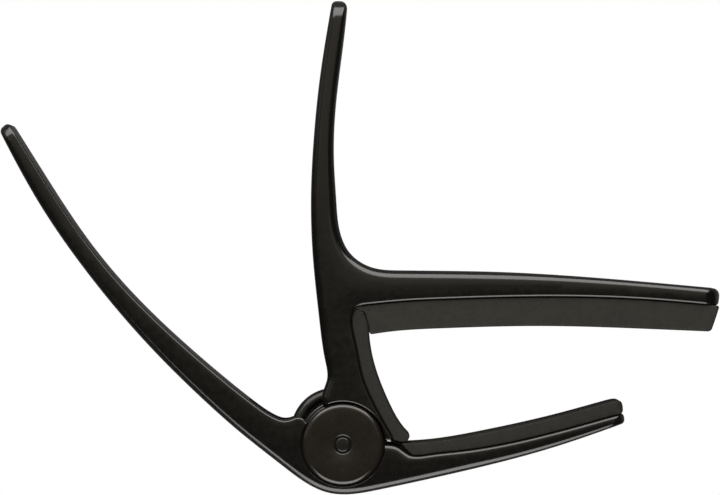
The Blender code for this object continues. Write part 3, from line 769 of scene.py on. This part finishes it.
def rubber(name, depth):
    """Dull moulded rubber; depth scales its colour against the string pad's, and a depth below 1 is painted
    shade: a darker copy of the same rubber.
    """
    colours = np.array([0.0074, 0.0067, 0.0045]) * depth, np.array([0.0110, 0.0100, 0.0067]) * depth
    layers = [(900, 4, 0.35, 0.00005), (6000, 3, 0.3, 0.00001)]
    made, shader = surface(name, colours, (420, 5, 0.6), (1500, 3, 0.62, 0.8), layers)
    shader.inputs["Specular IOR Level"].default_value = 0.25
    return made


def dark_steel():
    colours = (0.008, 0.0071, 0.006), (0.014, 0.0125, 0.0105)
    layers = [(4000, 3, 0.2, 0.000008)]
    made, shader = surface("oiled_steel", colours, (700, 4), (2400, 3, 0.20, 0.30), layers)
    shader.inputs["Metallic"].default_value = 0.5
    return made


def nylon():
    colours = (0.55, 0.52, 0.45), (0.66, 0.64, 0.57)
    layers = [(3000, 2, 0.2, 0.00001)]
    return surface("natural_nylon", colours, (500, 3), (2000, 3, 0.42, 0.55), layers)[0]


def floor_material():
    """White to the camera, and a dim grey table to everything that mirrors it."""
    made, tree, shader = node_material("white_sweep")
    colour = tint(tree, noise(tree, 3, 2), (0.10, 0.10, 0.10), (0.11, 0.11, 0.11))
    tree.links.new(colour, shader.inputs["Base Color"])
    shader.inputs["Roughness"].default_value = 0.9
    ray = add(tree, "ShaderNodeLightPath")
    glow = add(tree, "ShaderNodeEmission", Strength=1.0)
    either = add(tree, "ShaderNodeMixShader")
    tree.links.new(ray.outputs["Is Camera Ray"], either.inputs["Fac"])
    tree.links.new(shader.outputs["BSDF"], either.inputs[1])
    tree.links.new(glow.outputs["Emission"], either.inputs[2])
    tree.links.new(either.outputs["Shader"], tree.nodes["Material Output"].inputs["Surface"])
    return made


def dress(obj, material):
    obj.data.materials.clear()
    obj.data.materials.append(material)


# ---------------------------------------------------------------- studio

def area_light(name, place, target, size, energy, colour):
    data = bpy.data.lights.new(name, "AREA")
    data.shape = "RECTANGLE"
    data.size, data.size_y = size
    data.energy = energy
    data.color = colour
    obj = bpy.data.objects.new(name, data)
    obj.location = place
    obj.rotation_euler = (Vector(target) - Vector(place)).to_track_quat("-Z", "Y").to_euler()
    bpy.context.scene.collection.objects.link(obj)
    obj.visible_camera = False


def studio():
    """Two softboxes beyond the view's top and bottom edges, a weak overhead one, and a white backdrop."""
    world = bpy.data.worlds.new("studio")
    bpy.context.scene.world = world
    world.use_nodes = True
    tree = world.node_tree
    ground = tree.nodes["Background"]
    ray = tree.nodes.new("ShaderNodeLightPath")
    mix = tree.nodes.new("ShaderNodeMapRange")
    mix.inputs["To Min"].default_value = 0.05
    mix.inputs["To Max"].default_value = 1.0
    tree.links.new(ray.outputs["Is Camera Ray"], mix.inputs["Value"])
    tree.links.new(mix.outputs["Result"], ground.inputs["Strength"])
    ground.inputs["Color"].default_value = (1, 1, 1, 1)
    warm = (1.0, 0.98, 0.95)
    area_light("softbox_top", (0.0, 0.524, 0.34), (0, 0.03, 0), (1.05, 0.547), 9.6, warm)
    area_light("softbox_bottom", (-0.06, -0.464, 0.34), (-0.06, 0.03, 0), (0.62, 0.547), 5.6, warm)
    area_light("overhead", (0.0, 0.27, 0.85), (0, 0.27, 0), (1.0, 0.45), 0.85, (1.0, 0.93, 0.75))
    area_light("side_fill", (-0.55, 0.26, 0.3), (0, 0.05, 0), (0.35, 0.5), 0.3, warm)
    bpy.context.scene.view_settings.view_transform = "Standard"


def floor():
    reach, below = 0.7, 0.00005
    bm = bmesh.new()
    signs = (-1, -1), (1, -1), (1, 1), (-1, 1)
    bm.faces.new([bm.verts.new((reach * x, reach * y, -below)) for x, y in signs])
    obj = finish_object("sweep", bm)
    if obj.data.polygons[0].normal.z < 0:
        obj.data.flip_normals()
    dress(obj, floor_material())


def camera():
    """Straight down on the capo's side, with the view's width measured just under the castings' faces."""
    distance, front, view_width = 860.0, 13.3, 114.286
    centre = (2.73, 31.25)
    data = bpy.data.cameras.new("camera")
    data.sensor_width = 36.0
    data.lens = data.sensor_width * distance / view_width
    data.clip_start, data.clip_end = 0.01, 20
    obj = bpy.data.objects.new("camera", data)
    obj.location = (centre[0] * MM, centre[1] * MM, (front + distance) * MM)
    bpy.context.scene.collection.objects.link(obj)
    bpy.context.scene.camera = obj


# ---------------------------------------------------------------- the capo

def place(obj, body, node, slot, material, padded=False):
    soften(obj)
    dress(obj, material)
    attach(obj, body)
    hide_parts(node)


def build():
    # The caps get the castings' enamel made three times lighter: painted light on the caps.
    paint, lit_cap_paint = enamel("black_enamel_coat", 1.0), enamel("cap_enamel_painted_light", 3.0)
    steel, plastic = dark_steel(), nylon()
    # The spine and neck pads get the string pad's rubber made darker: painted shade.
    grip, shaded_grip = rubber("moulded_rubber", 1.0), rubber("rubber_painted_shade", 0.7)
    place(frame_casting(), "frame", "frame_casting", "black_enamel", paint)
    place(lever_casting(), "lever", "lever_casting", "black_enamel", paint)
    place(hub_cap("cap_front", 1), "frame", "hub_cap_front", "black_enamel", lit_cap_paint)
    place(hub_cap("cap_rear", -1), "frame", "hub_cap_rear", "black_enamel", lit_cap_paint)
    place(string_pad(), "frame", "string_pad", "pad_rubber", grip, True)
    place(spine_pad(), "frame", "spine_pad", "pad_rubber", shaded_grip, True)
    place(neck_pad(), "lever", "neck_pad", "pad_rubber", shaded_grip, True)
    place(pin(), "frame", "pivot_pin", "blackened_steel", steel)
    coil, leg = spring()
    place(coil, "frame", "torsion_spring", "blackened_steel", steel)
    soften(leg)
    dress(leg, steel)
    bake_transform(leg)
    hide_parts("torsion_spring")
    for node in ("spring_sleeve", "bush_front", "bush_rear"):
        dress(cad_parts[node], plastic)


studio()
floor()
camera()
build()
